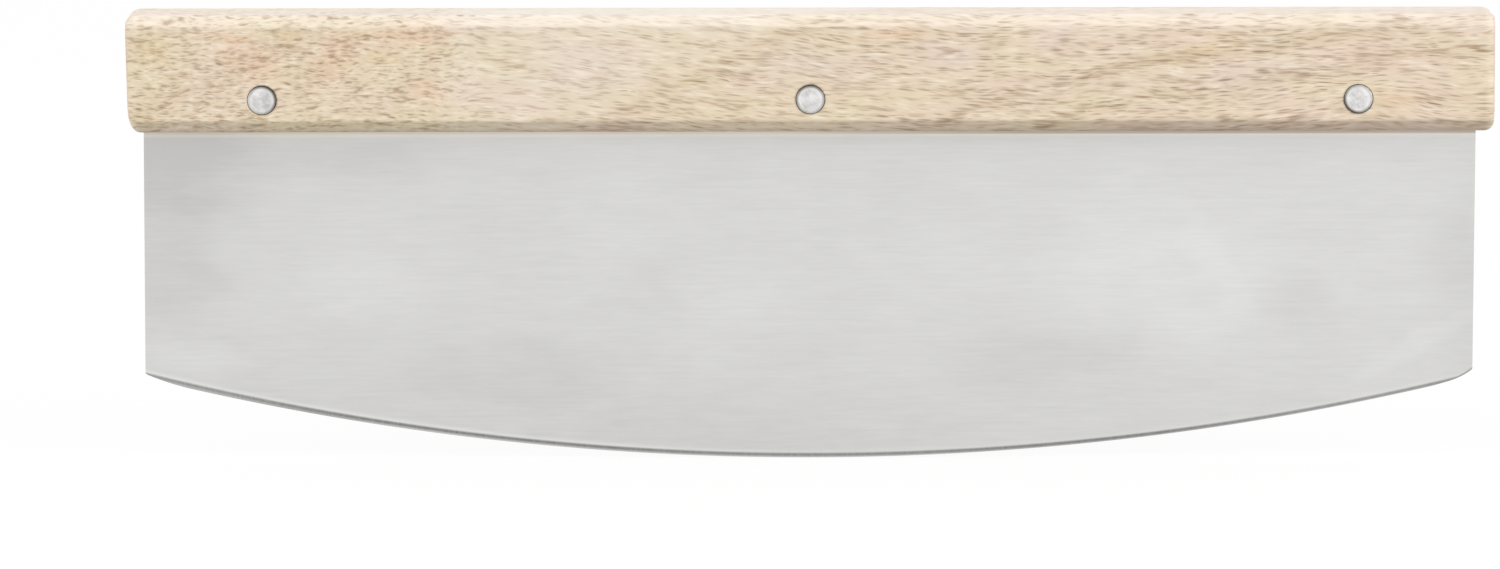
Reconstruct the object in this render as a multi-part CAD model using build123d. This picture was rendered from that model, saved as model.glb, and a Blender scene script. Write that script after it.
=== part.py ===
"""Rocking pizza knife: one wide steel blade let into a saw kerf in a wooden bar handle and held by three
two-part cutlery rivets.

Frame, in millimetres: +X runs along the blade, +Z up from the cutting edge to the handle and +Y from the front
face to the back. The origin is the lowest point of the cutting edge, in the middle of the blade's thickness.
"""

import os
from math import sqrt

from build123d import *

# Handle: a straight wooden bar. Its four long edges are chamfered, and each face rolls over at both ends.
handle_length = 330.2
handle_height = 28.4
handle_thickness = 25.0
handle_chamfer = 2.5
handle_arris_radius = 1.2
handle_end_radius = 2.8

# Blade: flat stainless sheet. A wide arc is its rocking edge, a tighter arc lifts each tip, and the ground
# bevel runs out along the tips.
blade_thickness = 1.5
blade_setback = 3.9
blade_drop = 80.4
tang_height = 17.0
rocker_radius = 671.0
tip_radius = 60.0
tip_run = 11.3
tip_corner_radius = 0.8
bevel_height = 1.1
edge_land = 0.3

# Kerf: the saw cut in the handle that takes the blade's tang. It runs from end to end.
kerf_side_clearance = 0.05
kerf_top_clearance = 0.4

# Rivets: each is a tube half and a stud half, pressed together through the handle and the tang.
rivet_inset = 33.0
rivet_height = 8.0
rivet_head_diameter = 7.0
rivet_head_height = 1.6
rivet_head_edge_radius = 0.3
rivet_sink = 0.1
tube_diameter = 4.8
tube_wall = 0.8
tube_end_gap = 1.2
stud_end_gap = 0.8
stud_lead = 0.3
press_clearance = 0.01
counterbore_clearance = 0.12
shank_hole_clearance = 0.1

# Overrun of every cutter past the face that it opens.
cut_overrun = 1.0

# Sizes that follow from the ones above.
blade_length = handle_length - 2 * blade_setback
blade_half = blade_length / 2
handle_bottom = blade_drop
handle_middle = handle_bottom + handle_height / 2
tang_top = handle_bottom + tang_height
kerf_width = blade_thickness + 2 * kerf_side_clearance
kerf_depth = tang_height + kerf_top_clearance
rivet_z = handle_bottom + rivet_height
rivet_spacing = handle_length / 2 - rivet_inset
rivet_places = {"left": -rivet_spacing, "middle": 0, "right": rivet_spacing}
head_face = handle_thickness / 2 - rivet_sink
head_seat = head_face - rivet_head_height
tube_length = 2 * head_seat - tube_end_gap
tube_bore = tube_diameter - 2 * tube_wall
stud_diameter = tube_bore - 2 * press_clearance
stud_length = 2 * head_seat - stud_end_gap


def arc_rise(radius, run):
    """How far an arc that starts level has risen after that run."""
    return radius - sqrt(radius**2 - run**2)


def front_extrusion(outline, thickness):
    """A plate of that outline, drawn in the XZ plane and centred on the blade's plane."""
    face = make_face(outline)
    return extrude(Plane.XZ * face, thickness / 2, both=True)


def blade_outline():
    """The blade seen from the front, with x along the edge and y up."""
    tip_start = blade_half - tip_run
    tip_foot = arc_rise(rocker_radius, tip_start)
    tip_centre_x = tip_start * (1 - tip_radius / rocker_radius)
    tip_centre_y = rocker_radius - sqrt((rocker_radius - tip_radius) ** 2 - tip_centre_x**2)
    corner_y = tip_centre_y - sqrt(tip_radius**2 - (blade_half - tip_centre_x) ** 2)
    middle_x = tip_start + tip_run / 2
    middle_y = tip_centre_y - sqrt(tip_radius**2 - (middle_x - tip_centre_x) ** 2)
    return [
        ThreePointArc((-tip_start, tip_foot), (0, 0), (tip_start, tip_foot)),
        ThreePointArc((tip_start, tip_foot), (middle_x, middle_y), (blade_half, corner_y)),
        Line((blade_half, corner_y), (blade_half, tang_top)),
        Line((blade_half, tang_top), (-blade_half, tang_top)),
        Line((-blade_half, tang_top), (-blade_half, corner_y)),
        ThreePointArc((-blade_half, corner_y), (-middle_x, middle_y), (-tip_start, tip_foot)),
    ]


def grinding_envelope():
    """The space that the grinder leaves: a disc on the rocking arc's axis, bevelled on both sides of its rim."""
    rim = rocker_radius
    profile = Polyline(
        (0, blade_thickness / 2),
        (rim - bevel_height, blade_thickness / 2),
        (rim, edge_land / 2),
        (rim, -edge_land / 2),
        (rim - bevel_height, -blade_thickness / 2),
        (0, -blade_thickness / 2),
        close=True,
    )
    disc = revolve(make_face(profile), Axis.Y)
    return Pos(0, 0, rocker_radius) * disc


def make_blade():
    plate = front_extrusion(blade_outline(), blade_thickness)
    corners = plate.edges().filter_by(Axis.Y).filter_by(lambda edge: edge.center().Z < handle_bottom)
    corners = corners.group_by(Axis.X)
    tips = corners[0] + corners[-1]
    plate = fillet(tips, tip_corner_radius)
    hole_radius = tube_diameter / 2 + shank_hole_clearance
    blade = plate & grinding_envelope()
    for x in rivet_places.values():
        blade -= Pos(x, 0, rivet_z) * across(hole_radius, blade_thickness / 2 + cut_overrun)
    return blade


def across(radius, reach):
    """A round bar along Y that reaches that far each side of the blade's plane."""
    return Rot(90, 0, 0) * Cylinder(radius, 2 * reach)


def rolled_block(height, turn):
    """A block as long as the bar, wide and of that height, with its end edges rounded. It is turned that many
    degrees about the bar's length, so that its upper and lower faces lie on two of the bar's eight faces."""
    block = Box(handle_length, 2 * handle_height, height)
    return Rot(turn, 0, 0) * fillet(block.edges().filter_by(Axis.Y), handle_end_radius)


def make_handle():
    section = Rectangle(handle_thickness, handle_height)
    section = chamfer(section.vertices(), handle_chamfer)
    section = fillet(section.vertices(), handle_arris_radius)
    bar = extrude(Plane.YZ * section, handle_length / 2, both=True)
    across_chamfers = (handle_thickness + handle_height - 2 * handle_chamfer) / sqrt(2)
    bar &= rolled_block(handle_height, 0)
    bar &= rolled_block(handle_thickness, 90)
    bar &= rolled_block(across_chamfers, 45)
    bar &= rolled_block(across_chamfers, -45)
    bar = Pos(0, 0, handle_middle) * bar

    kerf = Box(handle_length + 2 * cut_overrun, kerf_width, kerf_depth + cut_overrun)
    handle = bar - Pos(0, 0, handle_bottom + (kerf_depth - cut_overrun) / 2) * kerf
    shank_radius = tube_diameter / 2 + shank_hole_clearance
    head_radius = rivet_head_diameter / 2 + counterbore_clearance
    seat_cut = (handle_thickness / 2 - head_seat) + cut_overrun
    for x in rivet_places.values():
        handle -= Pos(x, 0, rivet_z) * across(shank_radius, handle_thickness / 2 + cut_overrun)
        for side in (-1, 1):
            seat = Rot(90, 0, 0) * Cylinder(head_radius, seat_cut)
            handle -= Pos(x, side * (head_seat + seat_cut / 2), rivet_z) * seat
    return handle


def rivet_head():
    """A flat disc whose outer rim is rounded, with its seat at z = 0 and its face up."""
    head = Cylinder(
        rivet_head_diameter / 2,
        rivet_head_height,
        align=(Align.CENTER, Align.CENTER, Align.MIN),
    )
    return fillet(head.edges().group_by(Axis.Z)[-1], rivet_head_edge_radius)


def shank(diameter, length):
    """A round shank that hangs down from the head's seat."""
    return Cylinder(diameter / 2, length, align=(Align.CENTER, Align.CENTER, Align.MAX))


def make_rivet_stud():
    stud = shank(stud_diameter, stud_length)
    stud = chamfer(stud.edges().group_by(Axis.Z)[0], stud_lead)
    return rivet_head() + stud


def make_rivet_tube():
    tube = shank(tube_diameter, tube_length) - shank(tube_bore, tube_length)
    return rivet_head() + tube


def main():
    os.makedirs("parts", exist_ok=True)
    export_step(make_handle(), "parts/handle.step")
    export_step(make_blade(), "parts/blade.step")
    to_front = Pos(0, -head_seat, 0) * Rot(90, 0, 0)
    to_back = Pos(0, head_seat, 0) * Rot(-90, 0, 0)
    for place, x in rivet_places.items():
        seat = Pos(x, 0, rivet_z)
        export_step(seat * to_front * make_rivet_stud(), f"parts/{place}_rivet_stud.step")
        export_step(seat * to_back * make_rivet_tube(), f"parts/{place}_rivet_tube.step")


main()
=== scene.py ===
from math import asin, atan, cos, hypot, pi, radians, sin

import bpy
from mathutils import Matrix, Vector


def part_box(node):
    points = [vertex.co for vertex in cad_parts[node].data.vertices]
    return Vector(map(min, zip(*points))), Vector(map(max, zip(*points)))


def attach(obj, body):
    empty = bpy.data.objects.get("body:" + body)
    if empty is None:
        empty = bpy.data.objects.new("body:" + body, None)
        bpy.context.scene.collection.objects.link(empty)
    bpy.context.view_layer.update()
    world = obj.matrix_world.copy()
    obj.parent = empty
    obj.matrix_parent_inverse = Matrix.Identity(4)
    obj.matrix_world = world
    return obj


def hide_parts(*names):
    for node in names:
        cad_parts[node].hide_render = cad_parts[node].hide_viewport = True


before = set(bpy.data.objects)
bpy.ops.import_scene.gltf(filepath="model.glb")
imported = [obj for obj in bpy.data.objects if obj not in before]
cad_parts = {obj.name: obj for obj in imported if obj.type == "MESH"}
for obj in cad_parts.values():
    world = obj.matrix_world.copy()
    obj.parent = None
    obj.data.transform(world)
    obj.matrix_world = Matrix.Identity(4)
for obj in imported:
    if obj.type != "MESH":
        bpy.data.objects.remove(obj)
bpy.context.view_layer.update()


# Blade
# A flat sheet of stainless steel, blanked with a wide arc for its rocking edge and tighter arcs at its tips.
# Both sides of the edge are ground to a narrow bevel against a disc, so the bevel runs out along the tips.
# Its upper part is the tang: it stands in the handle's kerf and the three rivets pass through it.

mm = 0.001
weld = 0.003 * mm

blade_low, blade_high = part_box("blade")
blade_thickness = blade_high.y - blade_low.y
blade_half = blade_high.x
blade_top = blade_high.z
handle_foot = 80.4 * mm
rocker_radius = 671 * mm
bevel_height = 1.1 * mm
bevel_lean = 1 * mm
edge_land = 0.3 * mm
blade_deburr = 0.12 * mm

# The left and the right tip: each bend's radius and how far before the end it starts, then the end's slant.
tip_bends = {-1: ((60 * mm, 11.3 * mm),), 1: ((60 * mm, 11.3 * mm), (18 * mm, 5.2 * mm))}
shear_slants = {-1: 0, 1: radians(0.45)}
tip_corner_radius = 0.8 * mm
tip_height = 20.5 * mm
flats_per_arc = 8

rivet_height = 88.4 * mm
rivet_spacing = 132.1 * mm
rivet_places = {"left": -rivet_spacing, "middle": 0, "right": rivet_spacing}
shank_hole_radius = 2.5 * mm


def start_editing(piece):
    """Opens a piece in edit mode with nothing selected."""
    bpy.ops.object.select_all(action="DESELECT")
    piece.select_set(True)
    bpy.context.view_layer.objects.active = piece
    bpy.ops.object.mode_set(mode="EDIT")
    bpy.ops.mesh.select_all(action="DESELECT")


def stop_editing():
    """Turns all faces outwards and leaves edit mode."""
    bpy.ops.mesh.select_all(action="SELECT")
    bpy.ops.mesh.normals_make_consistent(inside=False)
    bpy.ops.object.mode_set(mode="OBJECT")


def select_where(piece, kind, test):
    """Selects the vertices, edges or faces whose corners all pass the test."""
    bpy.ops.mesh.select_all(action="DESELECT")
    bpy.ops.mesh.select_mode(type=kind)
    bpy.ops.object.mode_set(mode="OBJECT")
    mesh = piece.data
    parts = {"VERT": mesh.vertices, "EDGE": mesh.edges, "FACE": mesh.polygons}[kind]
    for part in parts:
        corners = [part.co] if kind == "VERT" else [mesh.vertices[i].co for i in part.vertices]
        part.select = all(test(corner) for corner in corners)
    bpy.ops.object.mode_set(mode="EDIT")


def finish_with(piece, kind, **settings):
    """Adds a modifier to the piece and applies it."""
    bpy.ops.object.select_all(action="DESELECT")
    piece.select_set(True)
    bpy.context.view_layer.objects.active = piece
    modifier = piece.modifiers.new(kind.title(), kind)
    for name, value in settings.items():
        setattr(modifier, name, value)
    bpy.ops.object.modifier_apply(modifier=modifier.name)


def new_piece(name):
    """Names the primitive just added and puts its place and size into its mesh."""
    piece = bpy.context.object
    piece.name = piece.data.name = name
    bpy.ops.object.transform_apply(location=True, rotation=True, scale=True)
    return piece


def cut_away(piece, cutter):
    """Takes the cutter's shape out of the piece, merges corners that meet and throws the cutter away."""
    finish_with(piece, "BOOLEAN", operation="DIFFERENCE", solver="EXACT", object=cutter)
    bpy.data.objects.remove(cutter)
    start_editing(piece)
    bpy.ops.mesh.select_all(action="SELECT")
    bpy.ops.mesh.remove_doubles(threshold=weld)
    stop_editing()


def round_cutter(x, radius, reach, steps=()):
    """A bar along Y at a rivet's place. Each step draws both ends out further and makes them wider."""
    bpy.ops.object.select_all(action="DESELECT")
    axis = Vector((x, 0, rivet_height))
    bpy.ops.mesh.primitive_cylinder_add(
        vertices=96, radius=radius, depth=2 * reach, location=axis, rotation=(pi / 2, 0, 0)
    )
    cutter = new_piece("cutter")
    for side in (-1, 1):
        width = radius
        start_editing(cutter)
        select_where(cutter, "FACE", lambda corner: side * corner.y > reach - weld)
        for advance, wider in steps:
            bpy.ops.mesh.extrude_region_move(TRANSFORM_OT_translate={"value": (0, side * advance, 0)})
            growth = (wider / width, 1, wider / width)
            bpy.ops.transform.resize(value=growth, center_override=axis)
            width = wider
        stop_editing()
    return cutter


def trim(point, outward):
    """Cuts off what lies past a plane, and closes the cut."""
    bpy.ops.mesh.select_all(action="SELECT")
    bpy.ops.mesh.bisect(plane_co=point, plane_no=outward, use_fill=True, clear_outer=True, threshold=1e-7)


# The section at one end of the sweep: a plane drawn out downwards and squeezed to the edge's land.
sweep_half_angle = radians(16.5)
sweep_steps = 132
stock_height = 112 * mm
section_middle = (stock_height + bevel_height) / 2
bpy.ops.object.select_all(action="DESELECT")
bpy.ops.mesh.primitive_plane_add(size=1, rotation=(0, pi / 2, 0), location=(0, 0, section_middle))
bpy.context.object.scale = (stock_height - bevel_height, blade_thickness, 1)
blade = new_piece("rocking_blade")
start_editing(blade)
select_where(blade, "EDGE", lambda corner: corner.z < 2 * bevel_height)
bpy.ops.mesh.extrude_region_move(TRANSFORM_OT_translate={"value": (0, 0, -bevel_height)})
bpy.ops.transform.resize(value=(1, edge_land / blade_thickness, 1))
bpy.ops.mesh.select_all(action="SELECT")
arc_centre = Vector((0, 0, rocker_radius))
bpy.ops.transform.rotate(value=sweep_half_angle, orient_axis="Y", center_override=arc_centre)
bpy.ops.mesh.spin(steps=sweep_steps, angle=2 * sweep_half_angle, center=arc_centre, axis=(0, -1, 0))

# The bevel is a little wider on the left than on the right, as the blade was held to the wheel.
bevel_arc = rocker_radius - bevel_height
select_where(
    blade, "VERT", lambda corner: abs(hypot(corner.x, corner.z - rocker_radius) - bevel_arc) < 10 * weld
)
bpy.ops.transform.translate(value=(bevel_lean, 0, 0))

# The blank's straight top and right end, then both tips and the ends above them, as flats that follow arcs.
# Each arc is tighter than the one before and leaves it smoothly, and the last rounds the corner. The right
# tip is ground back further, and the right end was sheared a little out of square.
trim((0, 0, blade_top), (0, 0, 1))
trim((blade_half, 0, 0), (1, 0, 0))
tip_ends = {}
for side, bends in tip_bends.items():
    slant = shear_slants[side]
    tip_half = blade_half - sin(slant) * (handle_foot - tip_height)
    reach, rise, radius = 0, rocker_radius, rocker_radius
    arcs = []
    for bend_radius, run in bends:
        first = asin((tip_half - run - reach) / radius)
        reach += (radius - bend_radius) * sin(first)
        rise -= (radius - bend_radius) * cos(first)
        radius = bend_radius
        arcs.append((reach, rise, radius, first))
    tip_ends[side] = arcs[-1]
    corner_reach = tip_half - tip_corner_radius
    first = asin((corner_reach - reach) / (radius - tip_corner_radius))
    corner_rise = rise - (radius - tip_corner_radius) * cos(first)
    arcs.append((corner_reach, corner_rise, tip_corner_radius, first))
    lasts = [arc[-1] for arc in arcs[1:]] + [pi / 2 - slant]
    for (reach, rise, radius, first), last in zip(arcs, lasts):
        for step in range(1, flats_per_arc + 1):
            angle = first + (last - first) * step / flats_per_arc
            outward = Vector((side * sin(angle), 0, -cos(angle)))
            trim(Vector((side * reach, 0, rise)) + outward * radius, outward)
stop_editing()

for x in rivet_places.values():
    cut_away(blade, round_cutter(x, shank_hole_radius, blade_thickness))
finish_with(blade, "BEVEL", width=blade_deburr, segments=2, limit_method="ANGLE", angle_limit=radians(70))
bpy.ops.object.shade_smooth_by_angle(angle=radians(20))


class Term:
    """A value on its way through a finish. A sum or product of it adds a Math node."""

    def __init__(self, finish, node, output):
        self.finish = finish
        self.node = node
        self.socket = node.outputs[output]

    def also(self, output):
        """Another output of the same node."""
        return Term(self.finish, self.node, output)

    def __add__(self, other):
        return self.finish.maths("ADD", self, other)

    def __radd__(self, other):
        return self.finish.maths("ADD", other, self)

    def __sub__(self, other):
        return self.finish.maths("SUBTRACT", self, other)

    def __rsub__(self, other):
        return self.finish.maths("SUBTRACT", other, self)

    def __mul__(self, other):
        return self.finish.maths("MULTIPLY", self, other)

    def __rmul__(self, other):
        return self.finish.maths("MULTIPLY", other, self)

    def __truediv__(self, other):
        return self.finish.maths("DIVIDE", self, other)

    def __pow__(self, other):
        return self.finish.maths("POWER", self, other)

    def __abs__(self):
        return self.finish.maths("ABSOLUTE", self)


class Finish:
    """The nodes of a material, or of the studio's world, added one by one."""

    def __init__(self, owner):
        owner.use_nodes = True
        self.tree = owner.node_tree
        self.tree.nodes.clear()

    def node(self, kind, settings=(), sockets=(), output=0):
        """Adds a node: first its settings, then the values or links of its sockets."""
        node = self.tree.nodes.new("ShaderNode" + kind)
        for name, value in dict(settings).items():
            setattr(node, name, value)
        for name, value in dict(sockets).items():
            if isinstance(value, Term):
                self.tree.links.new(value.socket, node.inputs[name])
            else:
                node.inputs[name].default_value = value
        return Term(self, node, output) if node.outputs else node

    def maths(self, operation, *values):
        return self.node("Math", {"operation": operation}, enumerate(values))

    def places(self):
        """How far along, across and up a point of the piece is, in millimetres."""
        metres = self.node("TexCoord", output="Object")
        point = self.node("VectorMath", {"operation": "SCALE"}, {0: metres, "Scale": 1 / mm})
        along = self.node("SeparateXYZ", {}, {0: point})
        return along, along.also("Y"), along.also("Z")

    def point(self, x, y, z):
        return self.node("CombineXYZ", {}, {0: x, 1: y, 2: z})

    def noise(self, x, y, z, detail=2):
        """Soft noise from about -1 to 1, with one blob per unit."""
        sockets = {"Vector": self.point(x, y, z), "Scale": 1, "Detail": detail}
        return (self.node("TexNoise", {}, sockets) - 0.5) * 4

    def step(self, value, start, end):
        """A smooth step from 0 at the start to 1 at the end, either way round."""
        sockets = {"Value": value, "From Min": start, "From Max": end}
        return self.node("MapRange", {"interpolation_type": "SMOOTHSTEP"}, sockets)

    def mix(self, share, colour, other):
        """A colour with a share of another one in it."""
        settings = {"data_type": "RGBA", "clamp_factor": True}
        return self.node("Mix", settings, {0: share, 6: colour, 7: other}, output=2)

    def surface(self, **sockets):
        """Closes the finish with a Principled shader."""
        sockets = {name.replace("_", " "): value for name, value in sockets.items()}
        shader = self.node("BsdfPrincipled", {}, sockets)
        self.node("OutputMaterial", {}, {"Surface": shader})


def tone(red, green, blue):
    """A colour given as on a screen, from 0 to 255, turned into light."""
    light = [((part / 255 + 0.055) / 1.055) ** 2.4 for part in (red, green, blue)]
    return (*light, 1)


# Cold-rolled sheet, brushed lengthwise and wiped, with painted shade, sheen and reflection on it. The ground
# bevel is coarser, darker partly from the grind and partly from painted shade, and a painted highlight
# brightens it at the edge and towards the tips. A noise's divisors are the length, depth and height of its
# marks.
dull_steel = tone(197, 196, 194)
bright_steel = tone(231, 231, 229)
highlight_steel = tone(240, 240, 239)
dark_grind_and_shade = tone(120, 120, 118)
light_grind_and_shade = tone(158, 158, 156)
bevel_highlight_steel = tone(216, 216, 214)
wood_reflection_tint = tone(255, 240, 214)
handle_shadow_tone = tone(150, 138, 124)

blade_steel = bpy.data.materials.new("brushed_blade_steel")
steel = Finish(blade_steel)
x, y, z = steel.places()
brushing = steel.noise(x / 30, y, z / 0.16)
streaks = steel.noise(x / 26, y / 9, z / 0.9)
clouds = steel.noise(x / 30, y / 9, z / 18, detail=1)
smears = steel.noise((x + z) / 15, y / 9, (z - x / 3) / 8)
scuffs = steel.noise(x / 7, y / 9, z / 0.7)

# Wipe marks mixed with painted sheen and painted shade, darker just below the handle and at the top left: the
# middle, half length, half width and slope of each smear, and its sheen.
wipes_and_painted_shading = (
    (-108, 42, 17, 9, 0, 0.08),
    (-71, 20, 28, 9, 0, -0.11),
    (-21, 38, 17, 18, 0, 0.05),
    (-46, 61, 18, 14, 0, 0.04),
    (84, 45, 30, 24, 0, 0.11),
    (98, 48, 17, 5, -1.5, 0.07),
    (120, 38, 11, 8, 0, -0.12),
    (155, 49, 9, 9, 0.5, -0.07),
    (60, 24, 28, 10, 0.1, -0.1),
    (146, 27, 22, 3, 0.5, 0.1),
    (-149, 25, 16, 4, -0.3, 0.1),
    (-152, 43, 12, 10, 0, -0.07),
    (-165, 60, 26, 36, 0, -0.2),
    (-150, 84, 34, 12, -0.1, -0.26),
    (-150, 68, 22, 10, 0, -0.2),
    (-112, 73, 24, 6, 0, -0.14),
    (166, 48, 16, 36, 0, -0.1),
    (26, 81, 90, 5, 0, -0.1),
)
lie = steel.point(x + 3 * smears, 0, z + 1.5 * clouds)
wiped_and_painted_shading = 0
for middle_x, middle_z, half_length, half_width, slope, strength in wipes_and_painted_shading:
    sockets = {"Vector": lie, "Location": (middle_x, 0, middle_z), "Rotation": (0, -atan(slope), 0)}
    sockets["Scale"] = (half_length, 1, half_width)
    oval = steel.node("Mapping", {"vector_type": "TEXTURE"}, sockets)
    away = steel.node("VectorMath", {"operation": "LENGTH"}, {0: oval}, output="Value")
    wiped_and_painted_shading = wiped_and_painted_shading + strength * steel.step(away, 1.3, 0.35)

# Painted shade: the sheet is darker towards its top and bottom than halfway up, and darker towards the left.
shade_off_middle = ((z - 50) / 50) ** 2
polish_and_painted_shading = 1.15 * wiped_and_painted_shading + 0.02 * brushing + 0.06 * streaks + 0.05 * clouds + 0.04 * smears + 0.065 * scuffs
polish_and_painted_shading = polish_and_painted_shading - 0.27 * shade_off_middle + 0.06 * steel.step(x, -80, 100)
sheet_colour = steel.mix(0.5 + polish_and_painted_shading, dull_steel, bright_steel)

# Painted reflection of the wood's underside: a warm band on the sheet just below the handle.
foot = handle_foot / mm
wood_reflection_band = steel.step(z, foot - 2.5, foot - 1.5)
sheet_colour = steel.mix(0.3 * wood_reflection_band, sheet_colour, wood_reflection_tint)
# Painted shadow of the handle: a thin darker line below the handle's edge, most at the right.
handle_shadow_share = steel.step(z, foot - 1.7, foot - 1.2) * (0.2 + 0.4 * steel.step(x, -20, 60))
sheet_colour = steel.mix(handle_shadow_share, sheet_colour, handle_shadow_tone)

# Where the metal is ground: along the rocking edge, and low down beside each tip's last arc. A painted
# highlight runs as a bright line above it.
lean_x = x - bevel_lean / mm
below_z = z - rocker_radius / mm
from_centre = (lean_x * lean_x + below_z * below_z) ** 0.5
bevel_start = bevel_arc / mm
ground = steel.step(from_centre, bevel_start - 0.35, bevel_start + 0.3)
low_down = steel.step(z, 30, 26)
for side, (reach, rise, radius, first) in tip_ends.items():
    off_x = side * x - reach / mm
    off_z = z - rise / mm
    arc = radius / mm
    tip = steel.step((off_x * off_x + off_z * off_z) ** 0.5, arc - 0.55, arc - 0.2)
    arc_start = arc * sin(first)
    tip = tip * steel.step(off_x, arc_start, arc_start + 1) * low_down
    ground = steel.maths("MAXIMUM", ground, tip)
# A painted highlight in a band above the bevel.
highlight_above_bevel = steel.step(from_centre, bevel_start - 1.3, bevel_start - 0.2) * (1 - ground)
grinding = steel.noise(x / 0.25, y, z / 1.5)
# The ground bevel is coarser, and its darkness is partly the grind and partly painted shade.
bevel_colour_and_painted_light = steel.mix(0.5 + 0.4 * grinding, dark_grind_and_shade, light_grind_and_shade)
# A painted highlight on the bevel, along the edge and towards the tips.
bevel_highlight = steel.step(from_centre, bevel_start + 0.45, bevel_start + 1.1)
bevel_highlight = (0.7 - 0.35 * steel.step(x, -95, -125)) * bevel_highlight
bevel_highlight = bevel_highlight + 0.2 * steel.step(abs(x + 12), 90, 150) + 0.1 * steel.step(abs(x - 5), 60, 10)
bevel_colour_and_painted_light = steel.mix(bevel_highlight, bevel_colour_and_painted_light, bevel_highlight_steel)
sheet_colour = steel.mix((0.16 + 0.24 * steel.step(x, 20, -50)) * highlight_above_bevel, sheet_colour, highlight_steel)
colour = steel.mix(ground, sheet_colour, bevel_colour_and_painted_light)
relief = brushing * (1 - ground) + grinding * ground
scratches = steel.node("Bump", {}, {"Strength": 0.05, "Distance": 0.02 * mm, "Height": relief})
steel.surface(
    Base_Color=colour,
    Metallic=1,
    Roughness=0.34 + 0.05 * streaks + 0.1 * ground,
    Normal=scratches,
)
blade.data.materials.append(blade_steel)
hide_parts("blade")
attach(blade, "root")


# Handle
# One bar of pale, fine-pored hardwood: planed square, its long edges chamfered, its ends sanded round and all
# of its arrises eased by hand. A saw kerf runs along its underside from end to end, and three counterbored
# holes cross it for the rivets.

handle_low, handle_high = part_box("handle")
handle_size = handle_high - handle_low
handle_middle = (handle_low + handle_high) / 2
handle_half = handle_high.x
upper_chamfer = 2.5 * mm
lower_chamfer = 2.85 * mm
handle_arris = 0.45 * mm
end_slant = radians(1)
end_radii = {-1: 3.1 * mm, 1: 2.6 * mm}
top_end_radii = {-1: 2.4 * mm, 1: 1.2 * mm}
bottom_end_radii = {-1: 5 * mm, 1: 2.3 * mm}
kerf_width = 1.6 * mm
kerf_depth = 17.4 * mm
cutter_overrun = 2 * mm
counterbore_radius = 3.57 * mm
counterbore_depth = 1.7 * mm
handle_deburr = 0.12 * mm

# The section: a plane with its corners chamfered and the chamfers' own corners eased, drawn out to a bar.
bpy.ops.object.select_all(action="DESELECT")
bar_start = -handle_half + end_radii[-1]
bar_length = 2 * handle_half - end_radii[-1] - end_radii[1]
bpy.ops.mesh.primitive_plane_add(size=1, rotation=(0, pi / 2, 0), location=(bar_start, 0, handle_middle.z))
bpy.context.object.scale = (handle_size.z, handle_size.y, 1)
handle = new_piece("wooden_handle")
start_editing(handle)
select_where(handle, "VERT", lambda corner: corner.z > handle_middle.z)
bpy.ops.mesh.bevel(offset=upper_chamfer, segments=1, affect="VERTICES")
select_where(handle, "VERT", lambda corner: corner.z < handle_low.z + weld)
bpy.ops.mesh.bevel(offset=lower_chamfer, segments=1, affect="VERTICES")
bpy.ops.mesh.select_all(action="SELECT")
bpy.ops.mesh.bevel(offset=handle_arris, segments=3, affect="VERTICES")
bpy.ops.mesh.select_all(action="SELECT")
bpy.ops.mesh.extrude_region_move(TRANSFORM_OT_translate={"value": (bar_length, 0, 0)})

# The left end was cut a little out of square.
select_where(handle, "FACE", lambda corner: corner.x < bar_start + weld)
bpy.ops.transform.rotate(value=end_slant, orient_axis="Y", center_override=(bar_start, 0, handle_high.z))

# Each end rolls over in short steps, drawn out and drawn in at once. The roll is tighter at the top than at
# the bottom, where the left end was sanded most.
end_steps = 7
slack = 1 * mm
for side, radius in end_radii.items():
    select_where(handle, "FACE", lambda corner: side * corner.x > handle_half - radius - slack)
    reach, width, low, high = 0, handle_size.y, handle_low.z, handle_high.z
    for step in range(1, end_steps + 1):
        angle = pi / 2 * step / end_steps
        advance = radius * sin(angle) - reach
        turned_in = 1 - cos(angle)
        new_width = handle_size.y - 2 * radius * turned_in
        new_low = handle_low.z + bottom_end_radii[side] * turned_in
        new_high = handle_high.z - top_end_radii[side] * turned_in
        shrink = (new_high - new_low) / (high - low)
        still = (0, 0, (new_high - shrink * high) / (1 - shrink))
        bpy.ops.mesh.extrude_region_move(TRANSFORM_OT_translate={"value": (side * advance, 0, 0)})
        bpy.ops.transform.resize(value=(1, new_width / width, shrink), center_override=still)
        reach += advance
        width, low, high = new_width, new_low, new_high
stop_editing()

# The kerf, and for each rivet a shank hole that widens to a counterbore on both faces.
bpy.ops.object.select_all(action="DESELECT")
kerf_middle = handle_low.z + (kerf_depth - cutter_overrun) / 2
bpy.ops.mesh.primitive_cube_add(size=1, location=(0, 0, kerf_middle))
bpy.context.object.scale = (handle_size.x + 2 * cutter_overrun, kerf_width, kerf_depth + cutter_overrun)
cut_away(handle, new_piece("saw_cut"))
seat_reach = handle_high.y - counterbore_depth
seat = ((0, counterbore_radius), (counterbore_depth + cutter_overrun, counterbore_radius))
for x in rivet_places.values():
    cut_away(handle, round_cutter(x, shank_hole_radius, seat_reach, seat))
finish_with(handle, "BEVEL", width=handle_deburr, segments=2, limit_method="ANGLE", angle_limit=radians(60))
bpy.ops.object.shade_smooth_by_angle(angle=radians(32))
finish_with(handle, "WEIGHTED_NORMAL", mode="FACE_AREA", weight=80, keep_sharp=True)

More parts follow.
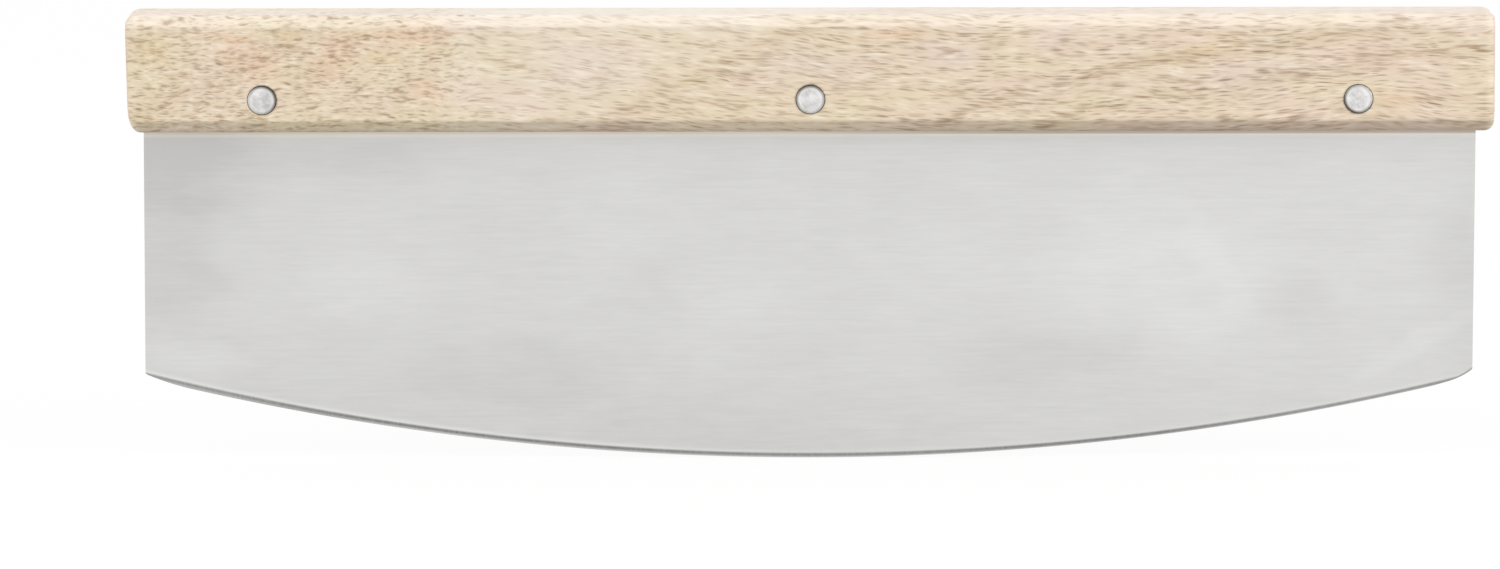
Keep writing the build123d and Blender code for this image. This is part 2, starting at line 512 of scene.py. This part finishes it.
# Fine-sanded pale wood. Growth layers lie as tilted sheets in the bar, with warmer and paler patches between
# them. The vessels cut open by the plane show as short brown-grey dashes that follow the grain.
straw_wood = tone(232, 218, 184)
rosy_wood = tone(236, 214, 195)
layer_wood = tone(206, 182, 146)
pale_wood_and_top_sheen = tone(244, 234, 223)
fleck_wood = tone(208, 185, 154)
light_fibre = tone(254, 245, 229)
dark_fibre = tone(174, 146, 116)
vessel_wood = tone(144, 117, 90)
lower_shade_wood = tone(156, 128, 102)
end_wood = tone(186, 160, 130)
ring_shade_wood = tone(72, 60, 46)
orange_stain = tone(238, 198, 168)
yellow_stain = tone(227, 205, 158)
pink_stain = tone(232, 214, 206)

# Here u is the height above the bar's middle, and depth leans the pattern as it goes back into the bar.
handle_wood = bpy.data.materials.new("pale_hardwood")
wood = Finish(handle_wood)
x, y, z = wood.places()
u = z - handle_middle.z / mm
front = -handle_size.y / mm / 2
depth = 0.5 * (y - front)

# How far along the bar each layer crosses the front at mid height, how steeply, how thick, and how strong.
# Those below zero are clearer than the rest. On the right they bend over towards the level.
growth_layers = (
    (-144, 0.5, 4.5, 0.55),
    (-119.5, 0.7, 3.2, 0.5),
    (-95, 1.25, 2.6, 0.35),
    (-24, 0.5, 3.6, 0.4),
    (26, 0.33, 4.5, -0.4),
    (57, 0.33, 3, -0.4),
    (66, 0.33, 4.2, 0.75),
    (79, 0.33, 2, -0.4),
    (92, 0.33, 2.2, 0.65),
    (107, 0.33, 3, -0.4),
    (124, 0.33, 2, 0.5),
)
ripple = wood.noise(x / 24, y / 10, u / 8, detail=1)
curl = wood.noise(x / 9, y / 5, u / 4, detail=1)
wobble = wood.noise(x / 4.5, y / 5, u / 3.5, detail=1)
layers = 0
run = x - 0.55 * wood.maths("MAXIMUM", x - 70, 0)
for place, steepness, thickness, strength in growth_layers:
    height = (u + depth - steepness * (run - place)) / hypot(1, steepness)
    layers = layers + strength * wood.step(abs(height + 1.2 * ripple), thickness, 0)
clear_zone = wood.step(x, -93, -82) * wood.step(x - 2 * (u + depth), -26, -44)

patches = wood.noise(x / 26, y / 12, u / 9 + 7, detail=1)
rosiness = 0.4 + 0.5 * patches + 0.25 * wood.step(x, -30, 90)
colour = wood.mix(rosiness, straw_wood, rosy_wood)

# Stained patches: their colour, then the middle, half length, half width and slope of each on the front.
stains = (
    (orange_stain, (
        (-136, 5, 12, 5, -0.7),
        (-114, 5, 10, 4.6, 1.1),
        (-96, 10, 13, 3, 0),
        (-93, -3.5, 4, 3, 0),
        (21, 10, 9, 1.8, 0),
        (140, -6.4, 8, 3, -0.1),
    )),
    (yellow_stain, (
        (-158, 6.6, 7, 4.4, 0),
        (-126, 9, 5, 4, 0),
        (-103, 5, 6, 2.4, 0),
        (94, 6, 12, 3, 0.25),
    )),
    (pink_stain, (
        (-57, 1, 14, 9, 0),
        (0, 2, 18, 5.4, 0),
        (34, 5, 11, 3.8, 0),
        (60, 8, 6, 3.4, 0),
        (108, 0, 18, 4, 0.15),
    )),
)
lie = wood.point(x + 1.6 * curl, 0, u + depth + 1.2 * ripple)
for stain, ovals in stains:
    share = 0
    for middle_x, middle_u, half_length, half_width, slope in ovals:
        turned = (0, -atan(slope), 0)
        sockets = {"Vector": lie, "Location": (middle_x, 0, middle_u), "Rotation": turned}
        sockets["Scale"] = (half_length, 1, half_width)
        oval = wood.node("Mapping", {"vector_type": "TEXTURE"}, sockets)
        away = wood.node("VectorMath", {"operation": "LENGTH"}, {0: oval}, output="Value")
        share = share + wood.step(away, 1.4, 0)
    colour = wood.mix(0.5 * share, colour, stain)

# The grain's own height at each place: level on the left, falling to the right in the middle, and bulging
# round a small swirl at the right rivet. On the left the vessels are cut more steeply and look shorter. The
# faces and chamfers show the grain at one depth, and the top and underside show it crosswise.
left_part = wood.step(x + 4 * ripple, -62, -96)
swirl = wood.step(x, 84, 128) * wood.step(x, 164, 132) * wood.step(u, 5, -8)
grain = u + 11 * wood.step(x, -110, 60) + 0.8 * ripple - 3 * swirl
grain = grain + 0.3 * curl * left_part + (0.08 + 0.1 * left_part) * wobble
inner = (handle_high.y - lower_chamfer) / mm
across = wood.maths("MAXIMUM", wood.maths("MINIMUM", y, inner), -inner) + 0.3 * ripple
slanted = end_slant * (handle_size.z / mm / 2 - u)
end_face = wood.step(wood.maths("MAXIMUM", x, slanted - x), handle_half / mm - 0.7, handle_half / mm - 0.1)
along = x + 0.75 * wood.maths("MINIMUM", x + 80, 0)


def vessels(length, width, size):
    """Vessels cut open along the grain: dashes of that length and width, each with its own size and depth."""
    place = wood.point(along / length, across / width, grain / width)
    cell = wood.node("TexVoronoi", {}, {"Vector": place, "Scale": 1, "Randomness": 0.85})
    chance = wood.node("SeparateColor", {}, {0: cell.also("Color")})
    reach = size * (0.4 + 1.1 * chance)
    darkness = 0.35 + 0.65 * chance.also("Green")
    return darkness * wood.step(cell, 1.2 * reach, 0.1 * reach)


def threads(length, width):
    """Fibres along the grain, from -1 where they are dark to 1 where they are light."""
    return wood.noise(along / length, across / width, grain / width, detail=1)


clusters = wood.noise(x / 13, y / 9, grain / 5, detail=1)
crowding = 1 + 0.4 * layers - 0.24 * clear_zone + 0.1 * clusters
dashes = vessels(4.8, 0.55, 0.4 * crowding) + vessels(8.5, 0.85, (0.2 - 0.1 * left_part) * crowding)
dashes = wood.maths("MINIMUM", dashes, 1) * (1 - end_face)
fibre = threads(3.6, 0.56) * (1 - end_face)
weave = 0.78 * threads(6, 0.78) + 0.48 * fibre
flecks = wood.noise(x / 14, across / 2, grain / 1.8)

# The colours, from the broad to the fine. A painted sheen makes the top paler than the faces, with less
# contrast in its grain; the clear zone is paler wood.
colour = wood.mix(0.38 * layers, colour, layer_wood)
top_sheen_band = wood.step(u, 9.9, 12.2)
paler_and_top_sheen = 0.25 * clear_zone + 0.45 * top_sheen_band + 0.2 * wood.step(u, 13.2, 13.9)
colour = wood.mix(paler_and_top_sheen, colour, pale_wood_and_top_sheen)
colour = wood.mix(0.08 + 0.1 * flecks, colour, fleck_wood)
colour = wood.mix((0.48 - 0.1 * top_sheen_band) * wood.step(weave, 0.1, 1), colour, light_fibre)
stringy = 0.62 * crowding + 0.2 * left_part - 0.1 * top_sheen_band
colour = wood.mix(stringy * wood.step(weave, 0, -1.1), colour, dark_fibre)
ink = 0.72 - 0.15 * clear_zone - 0.08 * left_part - 0.2 * top_sheen_band
colour = wood.mix(ink * dashes, colour, vessel_wood)

# Painted shade over the lower chamfer, most at the right, and darker still towards the bottom edge.
lower_edge_shade = (0.05 + 0.15 * wood.step(x, 40, 90)) * wood.step(u, -11.3, -11.9)
lower_edge_shade = lower_edge_shade + 0.22 * wood.step(u, -12.9, -13.9)
colour = wood.mix(lower_edge_shade, colour, lower_shade_wood)

# End grain is a little darker, with the growth rings edge on.
rings = wood.noise(x / 30, (y + 0.5 * u) / 9, (u - 0.5 * y) / 1.1)
colour = wood.mix(end_face * (0.3 + 0.2 * rings), colour, end_wood)

# Painted shade in a ring round each counterbore, darker to one side.
ring_shade_leans = {"left": (1.1, 0.8), "middle": (-0.2, 0.8), "right": (-0.9, -0.7)}


def round_rivets(finish, x, z):
    """How far a point is from the nearest rivet's axis, and how far it is towards the side where the painted
    ring shade is darker.
    """
    nearest = handle_half / mm
    side = 0
    for name, (lean_x, lean_z) in ring_shade_leans.items():
        off_x = x - rivet_places[name] / mm
        off_z = z - rivet_height / mm
        away = (off_x * off_x + off_z * off_z) ** 0.5
        nearest = finish.maths("MINIMUM", nearest, away)
        side = side + (lean_x * off_x + lean_z * off_z) / away * finish.step(away, 8, 6)
    return nearest, side


from_axis, side = round_rivets(wood, x, z)
edge = counterbore_radius / mm
# Painted shade in a ring round the counterbore's edge.
ring_shade = wood.step(from_axis + 0.1 * fibre, edge + 0.5, edge - 0.1) * (0.42 + 0.32 * side)
colour = wood.mix(ring_shade, colour, ring_shade_wood)

relief = wood.node("Bump", {}, {"Strength": 0.35, "Distance": 0.08 * mm, "Height": 0.25 * fibre - dashes})
wood.surface(Base_Color=colour, Roughness=0.48 + 0.25 * dashes, Normal=relief)
handle.data.materials.append(handle_wood)
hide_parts("handle")
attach(handle, "root")


# Rivets
# Three cutlery rivets of stainless steel, each a stud pressed into a tube. Their heads fill the counterbores
# and are ground flush with the wood, which leaves a cloudy face. A painted highlight brightens a ring inside
# the edge, and painted shade darkens the outer edge beside the gap.

head_radius = 3.5 * mm
cloudy_steel = tone(190, 188, 186)
clean_steel = tone(234, 233, 232)
rim_highlight_steel = tone(244, 243, 240)
gap_shade_tone = tone(100, 90, 76)

rivet_steel = bpy.data.materials.new("ground_rivet_steel")
steel = Finish(rivet_steel)
x, y, z = steel.places()
from_axis, side = round_rivets(steel, x, z)
clouds = steel.noise(x / 2.2, y / 3, z / 2.2)
strokes = steel.noise((x - z) / 3.5, y, (x + z) / 0.5)
pits = steel.noise(x / 0.5, y, z / 0.5, detail=1)
patina = 0.5 + 0.5 * clouds + 0.15 * strokes + 0.15 * pits + 0.12 * steel.step(x, -100, -20)
colour = steel.mix(patina, cloudy_steel, clean_steel)
edge = head_radius / mm
# A painted highlight in a ring inside the head's edge.
rim_highlight = steel.step(from_axis, edge - 1.5, edge - 0.9)
colour = steel.mix(0.25 * rim_highlight, colour, rim_highlight_steel)
# Painted shade on the head's outer edge beside the gap, darker to one side.
gap_shade = steel.step(from_axis, edge - 0.85, edge - 0.25)
colour = steel.mix(gap_shade * (0.6 + 0.25 * side), colour, gap_shade_tone)
facing = steel.node("Bump", {}, {"Strength": 0.2, "Distance": 0.02 * mm, "Height": strokes})
steel.surface(Base_Color=colour, Metallic=1, Roughness=0.4 + 0.08 * clouds, Normal=facing)
for place in rivet_places:
    for half in ("stud", "tube"):
        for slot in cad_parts[f"{place}_rivet_{half}"].material_slots:
            slot.material = rivet_steel


# Studio
# A wide pale floor under an even sky, with a large soft lamp on each side. The camera looks at the knife's
# front from a little above, through a long lens.

white = (1, 1, 1, 1)
floor_grey = (0.45, 0.45, 0.45, 1)
floor_width = 40
shadow_share = 0.1
sky_strength = 0.89

studio = bpy.context.scene
bpy.ops.object.select_all(action="DESELECT")
bpy.ops.mesh.primitive_plane_add(size=floor_width)
floor = new_piece("studio_floor")
floor_paint = bpy.data.materials.new("floor_paint")
paint = Finish(floor_paint)
rays = paint.node("LightPath", output="Is Camera Ray")
seen = paint.maths("MAXIMUM", rays, rays.also("Is Glossy Ray"))
seen = paint.maths("MAXIMUM", seen, rays.also("Is Transmission Ray"))
matt = paint.node("BsdfDiffuse", {}, {"Color": floor_grey})
lit = paint.node("Emission", {}, {"Color": white, "Strength": 1})
shaded = paint.node("BsdfDiffuse", {}, {"Color": white})
backdrop = paint.node("MixShader", {}, {0: shadow_share, 1: lit, 2: shaded})
surface = paint.node("MixShader", {}, {0: seen, 1: matt, 2: backdrop})
paint.node("OutputMaterial", {}, {"Surface": surface})
floor.data.materials.append(floor_paint)

studio.world = bpy.data.worlds.new("studio_sky")
sky = Finish(studio.world)
rays = sky.node("LightPath", output="Is Camera Ray")
seen = sky.maths("MAXIMUM", rays, rays.also("Is Glossy Ray"))
seen = sky.maths("MAXIMUM", seen, rays.also("Is Transmission Ray"))
glow = sky.node("Background", {}, {"Color": white, "Strength": sky_strength + (1 - sky_strength) * seen})
sky.node("OutputWorld", {}, {"Surface": glow})

aim = Vector((0, 0, 50 * mm))


def aimed(thing, place):
    """Puts a lamp or camera in its place and turns it to the middle of the knife."""
    thing.location = place
    thing.rotation_euler = (aim - place).to_track_quat("-Z", "Y").to_euler()


lamp_way = Vector((0.857, -0.45, 0.25))
lamp_distance = 2.2
lamp_width = 1.2
for name, side, watts in (("right_lamp", 1, 18.4), ("left_lamp", -1, 14.1)):
    bpy.ops.object.light_add(type="AREA")
    lamp = bpy.context.object
    lamp.name = name
    lamp.data.shape = "SQUARE"
    lamp.data.size = lamp_width
    lamp.data.energy = watts
    lamp.visible_camera = False
    aimed(lamp, aim + Vector((side * lamp_way.x, lamp_way.y, lamp_way.z)) * lamp_distance)

camera_turn = radians(-0.44)
camera_rise = radians(6.2)
camera_roll = radians(0.05)
camera_distance = 2.6
focal_length = 257.43
sensor_width = 36
picture_width, picture_height = 1500, 569
aim_across, aim_down = 810.1, 252.6

bpy.ops.object.camera_add()
camera = bpy.context.object
camera.name = "studio_camera"
towards = Vector(
    (sin(camera_turn) * cos(camera_rise), -cos(camera_turn) * cos(camera_rise), sin(camera_rise))
)
aimed(camera, aim + towards * camera_distance)
camera.rotation_euler.rotate_axis("Z", -camera_roll)
camera.data.lens = focal_length
camera.data.sensor_width = sensor_width
camera.data.shift_x = (picture_width / 2 - aim_across) / picture_width
camera.data.shift_y = (aim_down - picture_height / 2) / picture_width
camera.data.clip_end = 100
studio.camera = camera
studio.view_settings.view_transform = "Standard"
